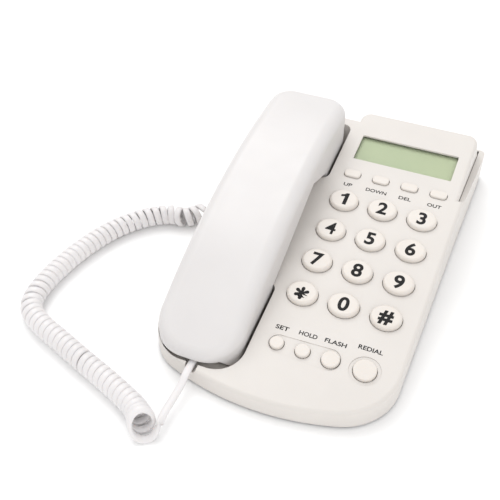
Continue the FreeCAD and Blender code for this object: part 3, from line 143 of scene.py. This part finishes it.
def plastic(name, colour, deeper, rough=0.4, grain=2600.0, relief=0.12, through=0.06):
    """Moulded plastic: spark-eroded grain, faint clouding and a little light inside it."""
    material, tree, shader, place = new_material(name)
    clouds = spread(tree, noise(tree, place, 26.0), 0.0, 1.0)
    blend_colours(tree, clouds, tint(*colour), tint(*deeper), shader.inputs["Base Color"])
    gloss = spread(tree, noise(tree, place, 90.0), rough - 0.05, rough + 0.05)
    tree.links.new(gloss, shader.inputs["Roughness"])
    shader.inputs["Subsurface Weight"].default_value = through
    shader.inputs["Subsurface Radius"].default_value = (0.6, 0.5, 0.4)
    shader.inputs["Subsurface Scale"].default_value = 0.002
    shader.inputs["IOR"].default_value = 1.5
    add_bump(tree, shader, noise(tree, place, grain, 2.0), relief)
    return material


def smooth_route(name, points, resolution=24):
    """Points of a smooth line through its control points."""
    curve = bpy.data.curves.new(name, "CURVE")
    curve.dimensions = "3D"
    spline = curve.splines.new("NURBS")
    spline.points.add(len(points) - 1)
    for slot, point in zip(spline.points, points):
        slot.co = (*point, 1.0)
    spline.order_u = 3
    spline.use_endpoint_u = True
    spline.resolution_u = resolution
    carrier = bpy.data.objects.new(name, curve)
    mesh = bpy.data.meshes.new_from_object(carrier)
    line = [vertex.co.copy() for vertex in mesh.vertices]
    bpy.data.objects.remove(carrier)
    bpy.data.curves.remove(curve)
    bpy.data.meshes.remove(mesh)
    return line


def spaced(line, step):
    """Points a fixed distance apart along a line."""
    result = [line[0].copy()]
    left = step
    for start, finish in zip(line, line[1:]):
        run = (finish - start).length
        while run > 0 and left <= run:
            result.append(start.lerp(finish, left / run))
            left += step
        left -= run
    return result


def coil_pitch(share):
    """Spacing of the turns: close in the lower run, open at the elbow and near the base."""
    elbow = math.exp(-((share - 0.48) / 0.04) ** 2)
    stray = math.exp(-((share - 0.22) / 0.008) ** 2)
    base_end = min(1.0, max(0.0, (share - 0.66) / 0.22))
    return TURN_PITCH + 0.0008 * elbow + 0.0010 * stray + 0.0008 * base_end


def wind_coil(axis_line, start_angle):
    """Centre line of the turns round an axis, and the outward direction at each point. The
    handset's tail pulls the first turns wider and makes them lean back."""
    step = 0.0001
    axis = spaced(axis_line, step)
    line, outward = [], []
    angle = start_angle
    marked = angle
    for index, (here, ahead) in enumerate(zip(axis, axis[1:])):
        along = (ahead - here).normalized()
        side = along.cross(Vector((0, 0, 1))).normalized()
        up = side.cross(along)
        if angle >= marked:
            pulled = math.exp(-index * step / FLARE_REACH)
            radius = COIL_RADIUS + FLARE * pulled
            direction = up * math.cos(angle) + side * math.sin(angle)
            lean = along * (LEAN * pulled * radius * math.cos(angle))
            rise = Vector((0, 0, radius - COIL_RADIUS))
            line.append(here + rise + direction * radius + lean)
            outward.append((direction - along * 0.3 * pulled * math.cos(angle)).normalized())
            marked += math.tau / POINTS_PER_TURN
        angle += math.tau * step / coil_pitch(index / len(axis))
    return line, outward


def sweep_flat(name, line, outward):
    """A flat cord with rounded edges along a line; outward is its thin direction."""
    mesh = bpy.data.meshes.new(name)
    grid = bmesh.new()
    profile = []
    for corner in range(RING_CORNERS):
        turn = math.tau * corner / RING_CORNERS
        wide = math.copysign(abs(math.cos(turn)) ** 0.55, math.cos(turn))
        thick = math.copysign(abs(math.sin(turn)) ** 0.75, math.sin(turn))
        profile.append((wide * CORD_WIDE / 2, thick * CORD_THICK / 2))
    rings = []
    for index, (here, thin) in enumerate(zip(line, outward)):
        before = line[max(index - 1, 0)]
        after = line[min(index + 1, len(line) - 1)]
        along = (after - before).normalized()
        across = along.cross(thin).normalized()
        thin = across.cross(along)
        rings.append([grid.verts.new(here + across * u + thin * v) for u, v in profile])
    for one, two in zip(rings, rings[1:]):
        for corner in range(RING_CORNERS):
            following = (corner + 1) % RING_CORNERS
            grid.faces.new((one[corner], one[following], two[following], two[corner]))
    grid.faces.new(list(reversed(rings[0])))
    grid.faces.new(rings[-1])
    for face in grid.faces:
        face.smooth = len(face.verts) == 4
    bmesh.ops.recalc_face_normals(grid, faces=grid.faces)
    grid.to_mesh(mesh)
    grid.free()
    piece = bpy.data.objects.new(name, mesh)
    bpy.context.scene.collection.objects.link(piece)
    return piece


def thinned(line, directions, gap):
    """Points of a line at least a gap apart, and the direction that its route has at each."""
    kept, outward = [], []
    for index, point in enumerate(line):
        if kept and (point - kept[-1]).length < gap and index < len(line) - 1:
            continue
        place = index / (len(line) - 1) * (len(directions) - 2) + 0.5
        low = min(int(place), len(directions) - 2)
        kept.append(point)
        outward.append(directions[low].lerp(directions[low + 1], place - low).normalized())
    return kept, outward


coil_axis = smooth_route("coil_axis", [(x, y, COIL_HEIGHT) for x, y in COIL])
turns, turn_out = wind_coil(coil_axis, FIRST_ANGLE)
near_joint = turns[0] - (turns[1] - turns[0]).normalized() * JOINT_REACH
far_joint = turns[-1] + (turns[-1] - turns[-2]).normalized() * JOINT_REACH
flat_up = Vector((0, 0, 1))
cord_route = list(HANDSET_TAIL) + [near_joint] + turns + [far_joint] + list(BASE_TAIL)
route_out = [flat_up] * len(HANDSET_TAIL) + [flat_up.lerp(turn_out[0], 0.5)] + turn_out
route_out += [turn_out[-1].lerp(flat_up, 0.3)] + [flat_up] * len(BASE_TAIL)
cord_line, cord_out = thinned(smooth_route("cord_line", cord_route, 12), route_out, RING_GAP)
cord = sweep_flat("curly_cord_wound", cord_line, cord_out)
cord_white = plastic("cord_white", (226, 223, 223), (220, 217, 217), 0.38, 1500.0, 0.08, 0.10)
cord.data.materials.append(cord_white)

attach(cord, "base")
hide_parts("curly_cord", "cord_tail_handset", "cord_tail_base")


# ---------------------------------------------------------------- cord plugs
# Modular plugs of clear polycarbonate, crimped on the cord's two ends.

def assign(material, *names):
    """Give CAD nodes a material."""
    for name in names:
        nodes[name].data.materials.clear()
        nodes[name].data.materials.append(material)


plug_clear, plug_tree, plug_shader, plug_place = new_material("plug_clear")
plug_shader.inputs["Base Color"].default_value = tint(238, 240, 240)
plug_shader.inputs["Transmission Weight"].default_value = 0.7
plug_shader.inputs["IOR"].default_value = 1.58
plug_gloss = spread(plug_tree, noise(plug_tree, plug_place, 900.0), 0.1, 0.25)
plug_tree.links.new(plug_gloss, plug_shader.inputs["Roughness"])
add_bump(plug_tree, plug_shader, noise(plug_tree, plug_place, 1500.0), 0.05)
assign(plug_clear, "cord_plug_handset", "cord_plug_base")


# ---------------------------------------------------------------- case
# Upper and lower case, moulded in one warm white plastic with a fine satin grain and held
# together by four screws from below. Painted shade: the colour turns dark brown in the narrow gaps.

def paint_gap_shade(material, reach):
    """Painted shade: turn the base colour dark brown where close neighbours keep the light out."""
    tree = material.node_tree
    shader = tree.nodes["Principled BSDF"]
    open_sky = tree.nodes.new("ShaderNodeAmbientOcclusion")
    open_sky.samples = 8
    open_sky.inputs["Distance"].default_value = reach
    curve = tree.nodes.new("ShaderNodeMapRange")
    curve.interpolation_type = "SMOOTHSTEP"
    curve.inputs["From Min"].default_value = 0.08
    curve.inputs["From Max"].default_value = 0.42
    tree.links.new(open_sky.outputs["AO"], curve.inputs["Value"])
    mix = tree.nodes.new("ShaderNodeMix")
    mix.data_type = "RGBA"
    # Dark brown colour of the painted shade in the gaps.
    mix.inputs["A"].default_value = tint(74, 58, 48)
    plain = shader.inputs["Base Color"].links[0].from_socket
    tree.links.new(plain, mix.inputs["B"])
    tree.links.new(curve.outputs["Result"], mix.inputs["Factor"])
    tree.links.new(mix.outputs["Result"], shader.inputs["Base Color"])


GAP_SHADE_REACH = 0.004
case_white = plastic("case_white", (216, 211, 206), (212, 207, 202), 0.42)
# Painted shade in the narrow gaps of the case.
paint_gap_shade(case_white, GAP_SHADE_REACH)
assign(case_white, "upper_case", "lower_case")


# ---------------------------------------------------------------- handset
# Two shells of a smoother, slightly cooler white plastic, joined below the back and held by
# one screw at the mouth end.

handset_white = plastic("handset_white", (216, 213, 212), (212, 209, 208), 0.36, 3200.0, 0.06)
# Painted shade in the narrow gaps of the handset, the same as on the case.
paint_gap_shade(handset_white, GAP_SHADE_REACH)
assign(handset_white, "handset_top", "handset_bottom")


# ---------------------------------------------------------------- feet and key pad
# Black rubber feet pressed into the floor, and the grey silicone sheet under the keys.

foot_rubber = plastic("foot_rubber", (40, 40, 41), (30, 30, 31), 0.8, 900.0, 0.4, 0.0)
pad_rubber = plastic("pad_rubber", (150, 150, 150), (140, 140, 140), 0.7, 900.0, 0.3)
assign(foot_rubber, "rubber_feet")
assign(pad_rubber, "key_pad_rubber")


# ---------------------------------------------------------------- screws, weights and speakers
# Zinc-plated screws, steel plates that give the base and the handset their weight, and
# pressed metal cans.

def metal(name, colour, rough, scratch=700.0):
    """Plated or pressed metal with fine scratches."""
    material, tree, shader, place = new_material(name)
    stretch = tree.nodes.new("ShaderNodeMapping")
    stretch.inputs["Scale"].default_value = (1.0, 14.0, 1.0)
    tree.links.new(place, stretch.inputs["Vector"])
    lines = noise(tree, stretch.outputs["Vector"], scratch)
    shader.inputs["Base Color"].default_value = tint(*colour)
    shader.inputs["Metallic"].default_value = 1.0
    tree.links.new(spread(tree, lines, rough - 0.08, rough + 0.12), shader.inputs["Roughness"])
    add_bump(tree, shader, lines, 0.1)
    return material


steel = metal("steel", (190, 190, 188), 0.35)
speaker_metal = metal("speaker_metal", (160, 160, 158), 0.45)
assign(steel, "case_screws", "handset_screw", "ballast_plate", "handset_weight")
assign(speaker_metal, "ringer_speaker", "microphone_capsule")


# ---------------------------------------------------------------- boards, sockets and hook
# Green laminate boards, black moulded sockets and switch, and the white plunger that the
# handset's ear end holds down.

board_green = plastic("board_green", (28, 92, 48), (22, 76, 40), 0.35, 500.0, 0.3, 0.0)
dark_plastic = plastic("dark_plastic", (36, 34, 33), (28, 27, 26), 0.5)
hook_white = plastic("hook_white", (232, 229, 222), (225, 222, 215), 0.3)
assign(board_green, "main_board", "display_board")
assign(dark_plastic, "hook_switch", "switch_bracket", "base_cord_socket", "line_socket",
       "receiver_capsule", "handset_socket")
assign(hook_white, "hook_plunger")


# ---------------------------------------------------------------- display
# Grey-green liquid crystal panel behind a clear window with a slightly glossy face.

panel, panel_tree, panel_shader, panel_place = new_material("panel_green")
panel_clouds = spread(panel_tree, noise(panel_tree, panel_place, 30.0), 0.0, 1.0)
blend_colours(panel_tree, panel_clouds, tint(191, 200, 168), tint(184, 195, 164),
              panel_shader.inputs["Base Color"])
panel_shader.inputs["Roughness"].default_value = 0.7
add_bump(panel_tree, panel_shader, noise(panel_tree, panel_place, 6000.0), 0.05)
assign(panel, "display_panel")

lens = bpy.data.materials.new("lens_clear")
lens.use_nodes = True
lens_tree = lens.node_tree
lens_tree.nodes.remove(lens_tree.nodes["Principled BSDF"])
clear = lens_tree.nodes.new("ShaderNodeBsdfTransparent")
clear.inputs["Color"].default_value = (0.985, 0.99, 0.98, 1.0)
shine = lens_tree.nodes.new("ShaderNodeBsdfGlossy")
shine.inputs["Roughness"].default_value = 0.3
fresnel = lens_tree.nodes.new("ShaderNodeFresnel")
fresnel.inputs["IOR"].default_value = 1.15
lens_mix = lens_tree.nodes.new("ShaderNodeMixShader")
lens_tree.links.new(fresnel.outputs["Fac"], lens_mix.inputs["Fac"])
lens_tree.links.new(clear.outputs["BSDF"], lens_mix.inputs[1])
lens_tree.links.new(shine.outputs["BSDF"], lens_mix.inputs[2])
lens_tree.links.new(lens_mix.outputs["Shader"],
                    lens_tree.nodes["Material Output"].inputs["Surface"])
assign(lens, "display_lens")


# ---------------------------------------------------------------- dial keys
# Twelve oval keys of smooth white plastic, each with a figure printed on its face in matt
# black.

DECK_SLOPE = math.radians(9.55)
DECK_HEIGHT = 0.030
KEY_PROUD = 0.0026
PRINT_LIFT = 0.00004
FIGURE_HEIGHT = 0.0090
FIGURE_BOLD = 0.00034
ODD_BOLD = {"4": 0.00012, "#": 0.00045}
ONE_HEIGHT = 0.0088
STAR_HEIGHT = 0.0125
STAR_BOLD = 0.00042
STAR_SHIFT = 0.0034

key_white = plastic("key_white", (220, 214, 207), (217, 210, 203), 0.34, 3600.0, 0.05, 0.12)
ink = plastic("ink", (13, 12, 12), (10, 9, 9), 0.8, 5000.0, 0.05, 0.0)


def on_deck(across, along, above):
    """Point on or over the deck, along its slope."""
    return Vector((across, along * math.cos(DECK_SLOPE) - above * math.sin(DECK_SLOPE),
                   DECK_HEIGHT + along * math.sin(DECK_SLOPE) + above * math.cos(DECK_SLOPE)))


def lay_on_deck(name, mesh, across, along, above, stretch, body):
    """Put a flat mesh of ink, drawn in X and Y, on the deck or on a key."""
    for vertex in mesh.vertices:
        x, y, z = vertex.co
        vertex.co = on_deck(across + x * stretch, along + y, above + PRINT_LIFT + z)
    mesh.materials.append(ink)
    piece = bpy.data.objects.new(name, mesh)
    bpy.context.scene.collection.objects.link(piece)
    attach(piece, body)


def printed(name, text, across, along, above, height, body, bold, wide=None):
    """Ink letters centred on a point; wide is the length that the word is stretched to."""
    words = bpy.data.curves.new(name, "FONT")
    words.body = text
    words.align_x = "CENTER"
    words.size = (height - 2 * bold) / 0.72
    words.offset = bold
    words.extrude = PRINT_LIFT / 2
    words.resolution_u = 6
    carrier = bpy.data.objects.new(name, words)
    mesh = bpy.data.meshes.new_from_object(carrier)
    bpy.data.objects.remove(carrier)
    bpy.data.curves.remove(words)
    reach = [vertex.co.x for vertex in mesh.vertices]
    middle = (max(reach) + min(reach)) / 2
    for vertex in mesh.vertices:
        vertex.co.x -= middle
    stretch = wide / (max(reach) - min(reach)) if wide else 1.0
    lay_on_deck(name, mesh, across, along - height / 2 + bold, above, stretch, body)


def figure_one(name, across, along, above, height, body):
    """The figure 1 as an upright bar and a flag; the built-in letters have none so bold."""
    corners = [(0.00, 0.00), (0.24, 0.00), (0.24, 1.00), (0.07, 1.00), (0.00, 0.95), (0.00, 0.70),
               (-0.26, 0.64), (-0.12, 0.66), (-0.07, 0.86), (-0.26, 0.80)]
    mesh = bpy.data.meshes.new(name)
    flat = bmesh.new()
    points = [flat.verts.new((x * height, (y - 0.5) * height, 0)) for x, y in corners]
    for face in ((0, 1, 2, 3, 4, 5), (6, 7, 8, 9), (7, 5, 4, 8)):
        flat.faces.new([points[corner] for corner in face])
    flat.to_mesh(mesh)
    flat.free()
    lay_on_deck(name, mesh, across, along, above, 1.0, body)


DIAL = (("1", "2", "3"), ("4", "5", "6"), ("7", "8", "9"), ("*", "0", "#"))
NAMES = {"*": "star", "#": "hash"}
KEY_MIDDLE = 0.0245
KEY_ACROSS = 0.0225
KEY_DOWN = 0.02288
KEY_FIRST_ROW = 0.0160
for row, figures in enumerate(DIAL):
    for column, figure in enumerate(figures):
        key = "key_" + NAMES.get(figure, figure)
        across = KEY_MIDDLE + (column - 1) * KEY_ACROSS
        along = KEY_FIRST_ROW - row * KEY_DOWN
        assign(key_white, key)
        if figure == "1":
            figure_one(key + "_figure", across, along, KEY_PROUD, ONE_HEIGHT, key)
        elif figure == "*":
            printed(key + "_figure", figure, across, along - STAR_SHIFT, KEY_PROUD, STAR_HEIGHT,
                    key, STAR_BOLD)
        else:
            printed(key + "_figure", figure, across, along, KEY_PROUD, FIGURE_HEIGHT, key,
                    ODD_BOLD.get(figure, FIGURE_BOLD))


# ---------------------------------------------------------------- display keys
# Four small plain keys below the display, with their names printed on the deck.

MENU_NAME_PITCH = 0.01687
MENU_NAME_ROW = 0.0293
MENU = (("UP", "key_up", 0.0050), ("DOWN", "key_down", 0.0120), ("DEL", "key_del", 0.0071),
        ("OUT", "key_out", 0.0079))
for index, (word, key, wide) in enumerate(MENU):
    printed(key + "_name", word, index * MENU_NAME_PITCH, MENU_NAME_ROW, 0.0, 0.0025, "base",
            0.00005, wide)
    assign(key_white, key)


# ---------------------------------------------------------------- line keys
# Four round plain keys that grow to the right, with their names printed on the deck. Each row
# gives the name, the key, the name's place across and along the deck, and its length.

LINE = (("SET", "key_set", -0.0003, -0.0755, 0.0070), ("HOLD", "key_hold", 0.0134, -0.0750, 0.0096),
        ("FLASH", "key_flash", 0.0278, -0.0747, 0.0113),
        ("REDIAL", "key_redial", 0.0452, -0.0725, 0.0125))
for word, key, across, along, wide in LINE:
    printed(key + "_name", word, across, along, 0.0, 0.0026, "base", 0.00006, wide)
    assign(key_white, key)


# ---------------------------------------------------------------- floor and light
# White table, a pale surround and two large soft lamps.

floor_mesh = bpy.data.meshes.new("floor")
floor_mesh.from_pydata([(-4, -4, 0), (4, -4, 0), (4, 4, 0), (-4, 4, 0)], [], [(0, 1, 2, 3)])
floor = bpy.data.objects.new("floor", floor_mesh)
bpy.context.scene.collection.objects.link(floor)
floor_white = plastic("floor_white", (252, 252, 252), (251, 251, 251), 0.8, 300.0, 0.0, 0.0)
floor_mesh.materials.append(floor_white)

world = bpy.data.worlds.new("surround")
world.use_nodes = True
world.node_tree.nodes["Background"].inputs["Color"].default_value = (1.0, 1.0, 1.0, 1.0)
world.node_tree.nodes["Background"].inputs["Strength"].default_value = 0.90
bpy.context.scene.world = world
bpy.context.scene.view_settings.view_transform = "Standard"


def soft_lamp(name, place, target, size, power):
    """A large square lamp aimed at a point."""
    lamp = bpy.data.lights.new(name, "AREA")
    lamp.shape = "SQUARE"
    lamp.size = size
    lamp.energy = power
    holder = bpy.data.objects.new(name, lamp)
    holder.location = place
    aim = Vector(target) - Vector(place)
    holder.rotation_euler = aim.to_track_quat("-Z", "Y").to_euler()
    bpy.context.scene.collection.objects.link(holder)


soft_lamp("key_lamp", (-0.5, 0.5, 1.1), (0.0, 0.0, 0.0), 0.9, 7.0)
soft_lamp("fill_lamp", (0.6, -1.0, 0.6), (0.0, 0.0, 0.0), 1.0, 3.5)
